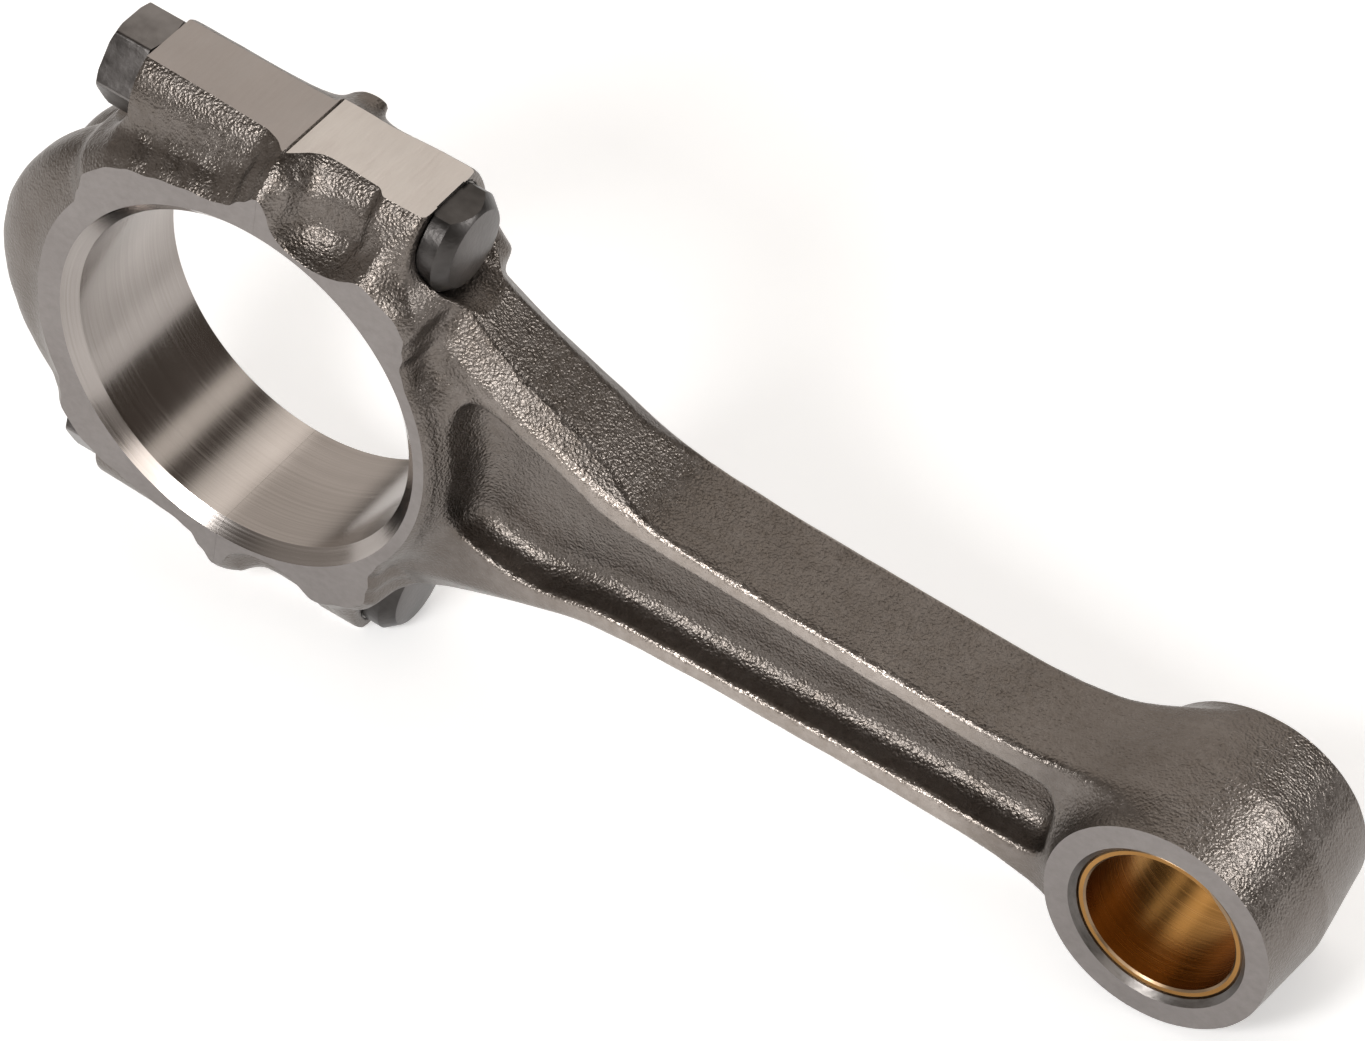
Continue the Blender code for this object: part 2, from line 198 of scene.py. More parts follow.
# Height of the beam's crest along its length, and of its outer edges.
BEAM_CREST = (
    (16.0, 37.6), (24.0, 34.2), (28.0, 31.6), (30.5, 29.7), (33.0, 27.9), (36.5, 25.7), (40.5, 23.6),
    (43.5, 22.3), (46.0, 21.3), (48.0, 20.4), (50.8, 19.3), (53.5, 18.0), (56.0, 16.9), (58.5, 15.7),
    (62.0, 14.1), (65.0, 12.9), (68.0, 12.3), (74.0, 11.9), (82.0, 11.6), (92.0, 11.35), (102.0, 11.2),
    (114.0, 11.1), (124.0, 11.15), (130.0, 11.7), (134.0, 12.5), (138.0, 13.4), (142.0, 14.3),
    (146.0, 14.9), (150.0, 14.8), (156.0, 12.6), (164.0, 7.0),
)
BEAM_SHOULDER = (
    (16.0, 29.5), (24.0, 25.8), (28.0, 24.0), (32.0, 22.3), (36.0, 20.6), (40.0, 19.2), (44.0, 18.0),
    (48.0, 16.6), (52.0, 15.3), (56.0, 13.9), (60.0, 12.9), (64.0, 12.35), (68.0, 12.0), (74.0, 11.6),
    (82.0, 11.3), (92.0, 11.1), (102.0, 10.9), (114.0, 10.8), (124.0, 10.85), (130.0, 11.4),
    (134.0, 12.2), (138.0, 13.1), (142.0, 14.0), (146.0, 14.6), (150.0, 14.5), (156.0, 12.3),
    (164.0, 6.7),
)
BEVEL_INSET = 3.6          # width of the bevel between crest and side, near the big end
THIN_INSET = 0.8           # the same along the slender part
# Half height of the side pockets along their length, above and below the middle.
POCKET_UPPER = (
    (28.0, 13.5), (34.0, 16.6), (38.0, 17.1), (41.0, 16.4), (44.5, 15.2), (48.0, 14.0), (52.0, 12.7),
    (56.0, 10.9), (60.0, 9.5), (64.0, 9.0), (70.0, 8.8), (80.0, 8.6), (92.0, 8.2), (105.0, 7.7),
    (120.0, 7.3), (150.0, 7.0),
)
POCKET_LOWER = (
    (28.0, 8.6), (34.0, 9.2), (38.0, 10.2), (42.0, 11.4), (46.0, 12.1), (50.0, 12.1), (54.0, 11.3),
    (58.0, 10.0), (62.0, 9.3), (68.0, 8.9), (80.0, 8.4), (92.0, 7.9), (105.0, 7.4), (120.0, 7.0),
    (150.0, 6.9),
)
POCKET_DRAFT = 0.12
POCKET_START_R = 33.6      # round the big end's bore
POCKET_END = 137.6
POCKET_END_R = 5.0
# Crest of the ribs round the cap's back: (angle from the beam, radius).
RIB_CREST = (
    (100, 30.0), (116, 33.5), (126, 36.6), (134, 38.6), (139, 40.2), (144, 41.8), (152, 43.4),
    (158, 44.5), (166, 45.6), (173, 46.3), (180, 46.6),
)


def grid():
    """The grid's x, y and z, each along its own axis of an array."""
    x, y, z = [np.arange(a, b, PITCH, dtype=np.float32) for a, b in zip(GRID_LOW, GRID_HIGH)]
    return x.reshape(-1, 1, 1), y.reshape(1, -1, 1), z.reshape(1, 1, -1)


def polar(x, z):
    """Angle from the beam, in degrees, the same above and below it, and distance from the bore's axis."""
    return np.abs(np.degrees(np.arctan2(z, x))), np.hypot(x, z)


def ring_field(x, y, z):
    """Big end's ring with its wings, notches and sloping flanks."""
    angle, radius = polar(x, z)
    near = eased_steps(angle, NEAR_EDGE)
    far = eased_steps(angle, FAR_EDGE)
    reach = eased_steps(angle, EDGE_REACH)
    depth = np.minimum(y - NEAR_Y, RING_FAR_Y - y)
    across = eased((y + 8.0) / 13.0)
    inside = np.maximum(depth, -MARGIN)
    reach = reach + (np.minimum(reach, FAR_REACH) - reach) * across
    # Below the edge a steep flank goes out as far as reach, and then the forging's draft goes on.
    flank = RING_DRAFT * inside + soft_min(0.95 * inside, reach, 1.2)
    edge = near * (1.0 - across) + far * across
    return np.maximum((radius - edge - flank) * 0.8, -depth - MARGIN)


def boss_field(x, y, z):
    """Bolt bosses: round about the bolt, flared at the parting face and at the bolt's head."""
    places, radii = zip(*BOSS_RADIUS)
    thick = np.interp(x, places, radii).astype(np.float32)
    # The far side is plainer: one radius on the cap, and one on the rod that grows towards the head.
    plain = np.where(x < 0.0, 8.8, 9.4) + 0.4 * eased((x - 8.0) / 10.0)
    thick = thick + (plain - thick) * eased((y + 1.0) / 5.0)
    round_boss = np.hypot(y, np.abs(z) - BOLT_Z) - thick
    ends = np.maximum(x - HEAD_SEAT_X - 0.2, NUT_SEAT_X - 0.6 - x)
    return soft_max(round_boss, ends, 0.8)


def beam_field(x, y, z):
    """I-beam shank with its bevelled shoulders and side pockets."""
    crest = smooth_curve(x, BEAM_CREST)
    shoulder = smooth_curve(x, BEAM_SHOULDER)
    run = np.sqrt(1.0 + np.gradient(crest, x[:, 0, 0], axis=0) ** 2)
    rise = np.abs(z) - crest
    side = np.abs(y) - BEAM_HALF_Y
    wide = BEVEL_INSET + 1.0 - eased((x - 28.0) / 14.0)
    inset = THIN_INSET + (wide - THIN_INSET) * (1.0 - eased((x - 56.0) / 10.0))
    # The bevel is the plane from the crest, inset from the side, down to the shoulder on the side.
    drop = (crest - shoulder) * np.where(y < 0.0, 1.0, 0.75)
    steep = np.sqrt(inset ** 2 + (drop * run) ** 2 + (inset * run - inset) ** 2)
    bevel = (rise * inset + (side + inset) * drop) / steep
    top = soft_max(rise / run, bevel, 0.35)
    blank = soft_max(top, side, 0.9)
    half = np.where(z > 0.0, smooth_curve(x, POCKET_UPPER), smooth_curve(x, POCKET_LOWER))
    wall = (np.abs(z) - half) * 0.97
    rounded = np.hypot(
        np.maximum(x - (POCKET_END - POCKET_END_R), 0.0),
        np.maximum(np.abs(z) - (half - POCKET_END_R), 0.0),
    ) - POCKET_END_R
    wall = np.where(x > POCKET_END - POCKET_END_R, rounded, wall)
    behind = POCKET_START_R - np.hypot(x, z)
    wall = soft_max(wall, behind, 6.0) + POCKET_DRAFT * (BEAM_HALF_Y - np.abs(y))
    pocket = soft_max(wall, WEB_HALF_Y - np.abs(y), 3.8)
    shank = soft_max(blank, -pocket, 0.9)
    ends = np.maximum(BEAM_START_X - x, x - BEAM_END_X)
    return np.maximum(shank, ends)


def eye_field(x, y, z):
    """Small end's barrel, widest at the middle of its length."""
    draft = (EYE_MID_R - EYE_FACE_R) * np.abs(y) / EYE_FAR_Y
    barrel = np.hypot(x - CENTRES, z) - EYE_MID_R + draft
    return np.maximum(barrel, np.abs(y) - EYE_FAR_Y - MARGIN)


def rib_field(x, y, z, middle, half, step):
    """One rounded rib round the cap's back."""
    angle, radius = polar(x, z)
    crest = smooth_curve(angle, RIB_CREST) - step
    root = 27.0
    power = 2.7
    across = np.abs((y - middle) / half) ** power
    out = (np.maximum(radius - root, 0.0) / np.maximum(crest - root, 1.0)) ** power
    return ((across + out) ** (1.0 / power) - 1.0) * half * 0.9


def egg(along, side, up, radius):
    """Stretched ball, from the distances to its middle, each divided by its stretch."""
    return np.sqrt(along ** 2 + side ** 2 + up ** 2) - radius


def bay_field(x, y, z):
    """Hollow under the rod's bosses, between the parting face and the wing, on both sides."""
    side = np.where(y < 0.0, y - NEAR_Y + 0.9, RING_FAR_Y + 0.9 - y)
    return egg((x - 10.2) / 1.55, side / 1.1, np.abs(z) - 36.7, 5.0)


def far_nub_field(x, y, z):
    """Round lug behind the bosses, where the far face meets the parting face."""
    return egg((x - 3.0) / 1.25, y - 11.0, np.abs(z) - 37.3, 4.6)


def forging_field(x, y, z):
    """Rod and cap in one, the parts joined with fillets of their own width."""
    ring = soft_min(ring_field(x, y, z), far_nub_field(x, y, z), 2.0)
    solid = soft_min(ring, boss_field(x, y, z), 4.0)
    web_fillet = 2.2 + 3.2 * (1.0 - eased((np.abs(z) - 15.0) / 8.0))
    solid = soft_min(solid, beam_field(x, y, z), web_fillet)
    solid = soft_min(solid, eye_field(x, y, z), 7.0)
    near_rib = rib_field(x, y, z, middle=-6.4, half=7.6, step=0.0)
    far_rib = rib_field(x, y, z, middle=4.6, half=6.4, step=1.3)
    ribs = np.where(x < 4.0, soft_min(near_rib, far_rib, 1.4), FAR_AWAY)
    solid = soft_min(solid, ribs, 2.2)
    solid = soft_max(solid, -bay_field(x, y, z), 3.0)
    shape = np.broadcast_shapes(x.shape, y.shape, z.shape)
    broad, small = lumps(shape, 19, 3), lumps(shape, 6, 4)
    solid += 0.07 * broad + 0.03 * small
    return solid.astype(np.float32)


def skin(field):
    """Quad mesh of the surface where the field is zero, as (points, quads)."""
    volume = openvdb.FloatGrid(BAND)
    volume.copyFromArray(np.ascontiguousarray(np.clip(field, -BAND, BAND)))
    points, quads = volume.convertToQuads(isovalue=0.0)
    return points * PITCH + np.array(GRID_LOW, np.float32), quads


# ---------------------------------------------------------------- mesh tools

@contextmanager
def editing(mesh):
    """The mesh as a bmesh, written back when the work on it is done."""
    bm = bmesh.new()
    bm.from_mesh(mesh)
    yield bm
    bm.to_mesh(mesh)
    bm.free()


def closed_mesh(name, points, faces):
    """Mesh of a closed surface, with every face turned outwards."""
    mesh = bpy.data.meshes.new(name)
    mesh.from_pydata(points.tolist(), [], faces)
    with editing(mesh) as bm:
        bmesh.ops.recalc_face_normals(bm, faces=bm.faces)
    return mesh


def capped_tube(name, points, rows, sides):
    """Closed mesh from rows of points, sides to a row: walls between the rows and a cap at each end."""
    faces = []
    for row in range(rows - 1):
        here, above = row * sides, (row + 1) * sides
        for i in range(sides):
            j = (i + 1) % sides
            faces.append((here + i, here + j, above + j, above + i))
    last = (rows - 1) * sides
    return closed_mesh(name, points, faces + [tuple(range(sides)), tuple(range(last, last + sides))])


def shown(name, data):
    """Object in the scene that shows the mesh, lamp or camera."""
    made = bpy.data.objects.new(name, data)
    bpy.context.scene.collection.objects.link(made)
    return made


def lathe(profile, axis="Y", centre=(0.0, 0.0, 0.0), sides=192):
    """Closed solid of revolution from (radius, distance along the axis) pairs."""
    turn = np.arange(sides) * math.tau / sides
    rings = []
    for radius, along in profile:
        around = radius * np.cos(turn), radius * np.sin(turn)
        level = np.full(sides, along)
        rings.append((around[0], level, around[1]) if axis == "Y" else (level, around[0], around[1]))
    points = np.concatenate([np.stack(ring, 1) for ring in rings]) + np.array(centre)
    return capped_tube("lathe", points, len(profile), sides)


def block(low, high):
    mesh = bpy.data.meshes.new("block")
    size = Vector(high) - Vector(low)
    middle = (Vector(high) + Vector(low)) / 2
    with editing(mesh) as bm:
        bmesh.ops.create_cube(bm, size=1.0)
        for vertex in bm.verts:
            vertex.co = middle + vertex.co * size
    return mesh


def cut(target, tools, operation="DIFFERENCE"):
    """Applies one boolean after another and keeps only the final mesh."""
    for tool in tools:
        helper = shown("cutter", tool)
        step = target.modifiers.new("cut", "BOOLEAN")
        step.operation = operation
        step.solver = "MANIFOLD"
        step.object = helper
        bpy.context.view_layer.update()
        graph = bpy.context.evaluated_depsgraph_get()
        result = bpy.data.meshes.new_from_object(target.evaluated_get(graph))
        target.modifiers.clear()
        old = target.data
        target.data = result
        bpy.data.meshes.remove(old)
        bpy.data.objects.remove(helper)
        bpy.data.meshes.remove(tool)


def weld(mesh):
    """Closes up slivers that the booleans leave."""
    with editing(mesh) as bm:
        bmesh.ops.remove_doubles(bm, verts=bm.verts, dist=SLIVER)
        bmesh.ops.dissolve_degenerate(bm, edges=bm.edges, dist=SLIVER)


def sharpen(mesh, degrees):
    """Marks the edges that turn by more than so many degrees as sharp."""
    with editing(mesh) as bm:
        for edge in bm.edges:
            if len(edge.link_faces) == 2 and edge.calc_face_angle(0.0) > math.radians(degrees):
                edge.smooth = False


def face_vectors(mesh, what):
    """The faces' middles or normals, one row for each face."""
    values = np.empty(len(mesh.polygons) * 3, np.float32)
    mesh.polygons.foreach_get(what, values)
    return values.reshape(-1, 3)


def finish_faces(obj, materials, choose, flat=()):
    """Gives each face its material and smooth shading, with sharp edges where two finishes meet.

    choose gets the faces' middles and normals and gives each one's material; those in flat aren't smoothed.
    """
    mesh = obj.data
    weld(mesh)
    mesh.materials.clear()
    for material in materials:
        mesh.materials.append(material)
    index = choose(face_vectors(mesh, "center"), face_vectors(mesh, "normal")).astype(np.int32)
    mesh.polygons.foreach_set("material_index", index)
    mesh.polygons.foreach_set("use_smooth", ~np.isin(index, flat))
    with editing(mesh) as bm:
        for edge in bm.edges:
            if len(edge.link_faces) != 2:
                continue
            one, two = edge.link_faces
            meets = one.material_index != two.material_index
            both_cut = one.material_index > 0 and two.material_index > 0
            if meets or (both_cut and one.normal.angle(two.normal, 0.0) > math.radians(35.0)):
                edge.smooth = False


def put_on_body(obj, body, node):
    """Into the row frame, and onto its body."""
    obj.data.transform(TO_ROW)
    obj.data.update()
    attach(obj, body)
    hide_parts(node)


# ---------------------------------------------------------------- machining

def bore_tool():
    """Big end's bore, chamfered on the near side and broken on the far side."""
    beyond = 4.0
    slope = CHAMFER_DEPTH / (CHAMFER_R - BORE_R)
    return lathe([
        (CHAMFER_R + beyond, NEAR_Y - beyond * slope), (BORE_R, NEAR_Y + CHAMFER_DEPTH),
        (BORE_R, RING_FAR_Y - FAR_BREAK), (BORE_R + beyond, RING_FAR_Y - FAR_BREAK + beyond),
    ], sides=384)


def eye_tool():
    """Hole for the bush, chamfered at both ends."""
    hole = BUSH_OUTER_R + FIT
    depth = EYE_CHAMFER_R - hole
    beyond = 3.0
    return lathe([
        (EYE_CHAMFER_R + beyond, NEAR_Y - beyond), (EYE_CHAMFER_R, NEAR_Y), (hole, NEAR_Y + depth),
        (hole, EYE_FAR_Y - depth), (EYE_CHAMFER_R + beyond, EYE_FAR_Y + beyond),
    ], centre=(CENTRES, 0.0, 0.0), sides=256)


def about_bolt(side, profile, sides=96):
    """Solid of revolution about the upper bolt's axis (side 1) or the lower one's (side -1)."""
    return lathe(profile, "X", (0.0, 0.0, side * BOLT_Z), sides)


def bolt_tools(radius, low, high):
    return [about_bolt(side, [(radius, low), (radius, high)]) for side in (1, -1)]


def seam_tools():
    """Broken edges of the parting face along the outer flats."""
    tools = []
    for z in (FLAT_Z, -FLAT_Z):
        mesh = block((-SEAM_BREAK, -20.0, -SEAM_BREAK), (SEAM_BREAK, 20.0, SEAM_BREAK))
        mesh.transform(Matrix.Translation((0.0, 0.0, z)) @ Matrix.Rotation(math.radians(45.0), 4, "Y"))
        tools.append(mesh)
    return tools


def face_tools():
    """Near and far faces of both ends, and the outer flats of the bosses."""
    out, far = 80, 60
    end, mid_beam, past_bosses = 200, 75, 60
    return [
        block((-out, -far, -out), (end, NEAR_Y, out)),
        block((-out, RING_FAR_Y, -out), (mid_beam, far, out)),
        block((mid_beam, EYE_FAR_Y, -out), (end, far, out)),
        block((-out, -far, FLAT_Z), (past_bosses, far, out)),
        block((-out, -far, -out), (past_bosses, far, -FLAT_Z)),
    ]


FORGED, FACED, HONED, MILLED, DRILLED, RECESS = range(6)


def which_finish(centre, normal):
    """Tells the machined faces from the forged skin by where they lie and which way they look."""
    x, y, z = centre.T
    along_x, along_y, along_z = np.abs(normal.T) > 0.999
    radius = np.hypot(x, z)
    eye_radius = np.hypot(x - CENTRES, z)
    bolt_radius = np.hypot(y, np.abs(z) - BOLT_Z)

    def at(value, *places):
        """Whether each value lies at one of the places."""
        return np.any([np.abs(value - place) < FINE for place in places], axis=0)

    found = np.full(len(x), FORGED)
    found[along_y & at(y, NEAR_Y, RING_FAR_Y, EYE_FAR_Y)] = FACED
    inward = (normal[:, 0] * x + normal[:, 2] * z) < 0.0
    found[(radius < BORE_R + FINE) & inward & ~along_y] = HONED
    into_chamfer = NEAR_Y + CHAMFER_DEPTH - y
    chamfer = BORE_R + into_chamfer * (CHAMFER_R - BORE_R) / CHAMFER_DEPTH
    found[(np.abs(radius - chamfer) < COARSE) & inward & (into_chamfer > 0.0)] = HONED
    into_break = y - RING_FAR_Y + FAR_BREAK
    found[(np.abs(radius - BORE_R - into_break) < COARSE) & inward & (into_break > 0.0)] = HONED
    found[(eye_radius < BUSH_OUTER_R + FIT + FINE) & ~along_y] = HONED
    # The eye's chamfers and hole ends take the recess finish, whose dark colour is painted shade.
    in_eye_end = (eye_radius < EYE_CHAMFER_R + 0.05) & (np.abs(y) > EYE_FAR_Y - 1.2)
    found[in_eye_end & ~along_y] = RECESS
    found[at(np.abs(z), FLAT_Z) & along_z] = MILLED
    found[(np.abs(x) < 0.2) & along_x] = MILLED
    found[at(x, HEAD_SEAT_X, NUT_SEAT_X) & along_x] = DRILLED
    found[bolt_radius < BOLT_HOLE_R + 0.05] = DRILLED
    return found


# ---------------------------------------------------------------- materials

class Nodes:
    """Short way to write a node material."""

    def __init__(self, name, metallic=0.0):
        self.material = bpy.data.materials.new(name)
        self.material.use_nodes = True
        self.tree = self.material.node_tree
        self.shader = self.tree.nodes["Principled BSDF"]
        self.shader.inputs["Metallic"].default_value = metallic
        self.place = self.add("ShaderNodeTexCoord").outputs["Object"]

    def add(self, kind, **settings):
        node = self.tree.nodes.new(kind)
        for key, value in settings.items():
            setattr(node, key, value)
        return node

    def link(self, source, socket):
        self.tree.links.new(source, socket)

    def stretched(self, scale, rotation=(0.0, 0.0, 0.0)):
        """The place on the object, scaled along each axis."""
        mapping = self.add("ShaderNodeMapping")
        mapping.inputs["Scale"].default_value = scale
        mapping.inputs["Rotation"].default_value = rotation
        self.link(self.place, mapping.inputs["Vector"])
        return mapping.outputs["Vector"]

    def noise(self, scale, detail, roughness, vector=None):
        node = self.add("ShaderNodeTexNoise")
        node.inputs["Scale"].default_value = scale
        node.inputs["Detail"].default_value = detail
        node.inputs["Roughness"].default_value = roughness
        self.link(vector or self.place, node.inputs["Vector"])
        return node.outputs["Fac"]

    def ramp(self, value, stops):
        """Colour from (position, colour) stops."""
        node = self.add("ShaderNodeValToRGB")
        stop_list = node.color_ramp.elements
        stop_list[0].position, stop_list[0].color = stops[0][0], (*stops[0][1], 1.0)
        stop_list[1].position, stop_list[1].color = stops[-1][0], (*stops[-1][1], 1.0)
        for position, colour in stops[1:-1]:
            stop_list.new(position).color = (*colour, 1.0)
        self.link(value, node.inputs["Fac"])
        return node.outputs["Color"]

    def spread(self, value, low, high, to_low, to_high):
        """Value from low to high carried to the range from to_low to to_high, and kept inside it."""
        node = self.add("ShaderNodeMapRange")
        for key, number in (("From Min", low), ("From Max", high), ("To Min", to_low), ("To Max", to_high)):
            node.inputs[key].default_value = number
        self.link(value, node.inputs["Value"])
        return node.outputs["Result"]

    def maths(self, operation, one, two):
        node = self.add("ShaderNodeMath", operation=operation)
        for socket, value in zip(node.inputs, (one, two)):
            if isinstance(value, (int, float)):
                socket.default_value = value
            else:
                self.link(value, socket)
        return node.outputs["Value"]

    def bump(self, height, distance, strength):
        node = self.add("ShaderNodeBump")
        node.inputs["Distance"].default_value = distance
        node.inputs["Strength"].default_value = strength
        self.link(height, node.inputs["Height"])
        return node.outputs["Normal"]


def forged_steel(name):
    """Peened forging skin: warm dark scale, dimpled all over, with painted light on the flanges' outer faces.
    """
    n = Nodes(name, 1.0)
    dimples = n.noise(2700.0, 1.0, 0.5)
    fine = n.noise(5200.0, 1.0, 0.5)
    broad = n.noise(90.0, 3.0, 0.55)
    mottle = n.noise(700.0, 2.0, 0.5)
    tone = n.maths("ADD", n.maths("MULTIPLY", broad, 0.5), n.maths("MULTIPLY", mottle, 0.5))
    colour = n.ramp(tone, [
        (0.36, (0.138, 0.120, 0.106)), (0.52, (0.165, 0.146, 0.132)), (0.66, (0.192, 0.172, 0.157)),
    ])
    # Painted light: the flanges' outer faces and their edges are made lighter, a painted sheen and edge
    # highlight, fading out towards both ends of the shank.
    apart = n.add("ShaderNodeSeparateXYZ")
    n.link(n.place, apart.inputs["Vector"])
    out = n.spread(n.maths("ABSOLUTE", apart.outputs["Y"], 0.0), 0.0076, 0.0083, 0.0, 1.0)
    begin = n.spread(apart.outputs["X"], -0.028, 0.002, 0.0, 1.0)
    end = n.spread(apart.outputs["X"], 0.052, 0.070, 1.0, 0.0)
    painted_light_mask = n.maths("MULTIPLY", out, n.maths("MULTIPLY", begin, end))
    # Painted light: the base colour is scaled by up to 2.3 where the mask is full.
    painted_light = n.add("ShaderNodeVectorMath", operation="SCALE")
    n.link(colour, painted_light.inputs[0])
    n.link(n.spread(painted_light_mask, 0.0, 1.0, 1.0, 2.3), painted_light.inputs["Scale"])
    n.link(painted_light.outputs["Vector"], n.shader.inputs["Base Color"])
    n.link(n.spread(mottle, 0.3, 0.7, 0.30, 0.40), n.shader.inputs["Roughness"])
    cells = n.add("ShaderNodeTexVoronoi")
    cells.inputs["Scale"].default_value = 1900.0
    n.link(n.place, cells.inputs["Vector"])
    height = n.maths("ADD", n.maths("MULTIPLY", dimples, 0.7), n.maths("MULTIPLY", fine, 0.12))
    height = n.maths("ADD", height, n.maths("MULTIPLY", cells.outputs["Distance"], 0.55))
    n.link(n.bump(height, 0.00014, 1.0), n.shader.inputs["Normal"])
    return n.material


def machined_steel(name, colours, scale, roughness, depth=0.00004, scratches=0.0):
    """Cut steel with fine tool lines, stretched by scale."""
    n = Nodes(name, 1.0)
    lines = n.noise(1.0, 3.0, 0.65, n.stretched(scale))
    cloud = n.noise(70.0, 3.0, 0.6)
    tone = n.maths("ADD", n.maths("MULTIPLY", lines, 0.6), n.maths("MULTIPLY", cloud, 0.4))
    n.link(n.ramp(tone, [(0.35, colours[0]), (0.65, colours[1])]), n.shader.inputs["Base Color"])
    n.link(n.spread(lines, 0.3, 0.7, roughness[0], roughness[1]), n.shader.inputs["Roughness"])
    height = lines
    if scratches:
        tilted = n.stretched((150.0, 60.0, 1500.0), (0.3, 0.5, 0.2))
        marks = n.spread(n.noise(1.0, 1.0, 0.4, tilted), 0.68, 0.74, 0.0, scratches)
        height = n.maths("SUBTRACT", lines, marks)
    n.link(n.bump(height, depth, 0.8), n.shader.inputs["Normal"])
    return n.material


def honed(name, colours, roughness, pitch, depth, anisotropic=0.6):
    """Bore wall: fine rings round the bore's axis, and highlights that run along it."""
    n = Nodes(name, 1.0)
    rings = n.noise(1.0, 3.0, 0.7, n.stretched((18.0, pitch, 18.0)))
    cloud = n.noise(60.0, 2.0, 0.5)
    tone = n.maths("ADD", n.maths("MULTIPLY", rings, 0.55), n.maths("MULTIPLY", cloud, 0.45))
    n.link(n.ramp(tone, [(0.36, colours[0]), (0.64, colours[1])]), n.shader.inputs["Base Color"])
    n.link(n.spread(rings, 0.3, 0.7, roughness[0], roughness[1]), n.shader.inputs["Roughness"])
    n.link(n.bump(rings, depth, 0.7), n.shader.inputs["Normal"])
    n.shader.inputs["Anisotropic"].default_value = anisotropic
    geometry = n.add("ShaderNodeNewGeometry")
    across = n.add("ShaderNodeVectorMath", operation="CROSS_PRODUCT")
    across.inputs[1].default_value = (0.0, 1.0, 0.0)
    n.link(geometry.outputs["Normal"], across.inputs[0])
    n.link(across.outputs["Vector"], n.shader.inputs["Tangent"])
    return n.material


def black_oxide(name, dark, pale):
    """Dark oiled finish of the bolts and nuts, rubbed a little."""
    n = Nodes(name, 1.0)
    broad = n.noise(130.0, 3.0, 0.6)
    fine = n.noise(1300.0, 2.0, 0.5)
    n.link(n.ramp(broad, [(0.35, dark), (0.65, pale)]), n.shader.inputs["Base Color"])
    n.link(n.spread(broad, 0.3, 0.7, 0.28, 0.44), n.shader.inputs["Roughness"])
    height = n.maths("ADD", fine, n.maths("MULTIPLY", broad, 2.0))
    n.link(n.bump(height, 0.00005, 0.8), n.shader.inputs["Normal"])
    return n.material


# ---------------------------------------------------------------- build

def rod_materials():
    """Finishes of the rod and of the cap, in the order that which_finish numbers them."""
    forged = forged_steel("forged_skin")
    ground = machined_steel(
        "ground_face", ((0.212, 0.194, 0.186), (0.262, 0.243, 0.234)), (600.0, 900.0, 800.0), (0.32, 0.42))
    bore = honed(
        "honed_bore", ((0.285, 0.260, 0.243), (0.370, 0.340, 0.322)), (0.13, 0.21), 3600.0, 0.00001, 0.5)
    rod_flat = machined_steel(
        "milled_flat", ((0.47, 0.435, 0.412), (0.59, 0.558, 0.53)), (700.0, 120.0, 300.0), (0.28, 0.40),
        scratches=1.5)
    seat = machined_steel(
        "drilled_seat", ((0.30, 0.28, 0.27), (0.40, 0.38, 0.36)), (900.0, 500.0, 500.0), (0.30, 0.42))
    # Painted shade: the eye's chamfers and hole ends get a far darker steel colour than the other cut faces.
    recess = machined_steel(
        "eye_recess_painted_shade", ((0.10, 0.092, 0.086), (0.16, 0.149, 0.141)), (600.0, 2500.0, 600.0), (0.28, 0.42))
    cap_flat = machined_steel(
        "cap_flat", ((0.32, 0.29, 0.275), (0.38, 0.35, 0.335)), (900.0, 150.0, 300.0), (0.34, 0.44))
    return [forged, ground, bore, rod_flat, seat, recess], [forged, ground, bore, cap_flat, seat, recess]


def build_forging(name, field, tools, materials, body, node):
    points, quads = skin(field)
    obj = shown(name, closed_mesh(name, points, quads.tolist()))
    cut(obj, face_tools() + [bore_tool()] + tools + bolt_tools(BOLT_HOLE_R, -70.0, 70.0) + seam_tools())
    finish_faces(obj, materials, which_finish, (FACED, MILLED))
    put_on_body(obj, body, node)


def build_forgings():
    """Rod and cap, parted from one field at x = 0."""
    x, y, z = grid()
    field = forging_field(x, y, z)
    stock = 0.9
    out, end = 80, 90
    rod_steel, cap_steel = rod_materials()
    rod_side = block((-end, -out, -out), (FIT / 2, out, out))
    cap_side = block((-FIT / 2, -out, -out), (end, out, out))
    rod_tools = [rod_side, eye_tool()] + bolt_tools(HEAD_SEAT_R, HEAD_SEAT_X, 60.0)
    cap_tools = [cap_side] + bolt_tools(NUT_SEAT_R, -80.0, NUT_SEAT_X)
    build_forging("rod_forging", np.maximum(field, -x - stock), rod_tools, rod_steel, "rod", "rod_body")
    build_forging("cap_forging", np.maximum(field, x - stock), cap_tools, cap_steel, "cap", "rod_cap")


def build_bush():
    near = NEAR_Y + BUSH_RECESS
    far = EYE_FAR_Y - BUSH_RECESS
    edge = 0.35
    lead = 0.3
    beyond = 2.0
    obj = shown("bronze_bush", lathe([
        (BUSH_OUTER_R - edge, near), (BUSH_OUTER_R, near + edge), (BUSH_OUTER_R, far - edge),
        (BUSH_OUTER_R - edge, far),
    ], centre=(CENTRES, 0.0, 0.0), sides=256))
    cut(obj, [lathe([
        (BUSH_BORE_R + lead + beyond, near - beyond), (BUSH_BORE_R, near + lead), (BUSH_BORE_R, far - lead),
        (BUSH_BORE_R + lead + beyond, far + beyond),
    ], centre=(CENTRES, 0.0, 0.0), sides=256)])
    bronze = honed(
        "bush_bronze", ((0.25, 0.125, 0.034), (0.39, 0.205, 0.066)), (0.20, 0.30), 2600.0, 0.000015)
    rim = machined_steel(
        "bush_rim", ((0.22, 0.15, 0.09), (0.30, 0.21, 0.13)), (500.0, 500.0, 500.0), (0.25, 0.4))

    def bush_finish(centre, normal):
        inside = np.hypot(centre[:, 0] - CENTRES, centre[:, 2]) < BUSH_BORE_R + COARSE
        return np.where(inside, 0, 1)

    finish_faces(obj, [bronze, rim], bush_finish)
    put_on_body(obj, "rod", "small_end_bush")


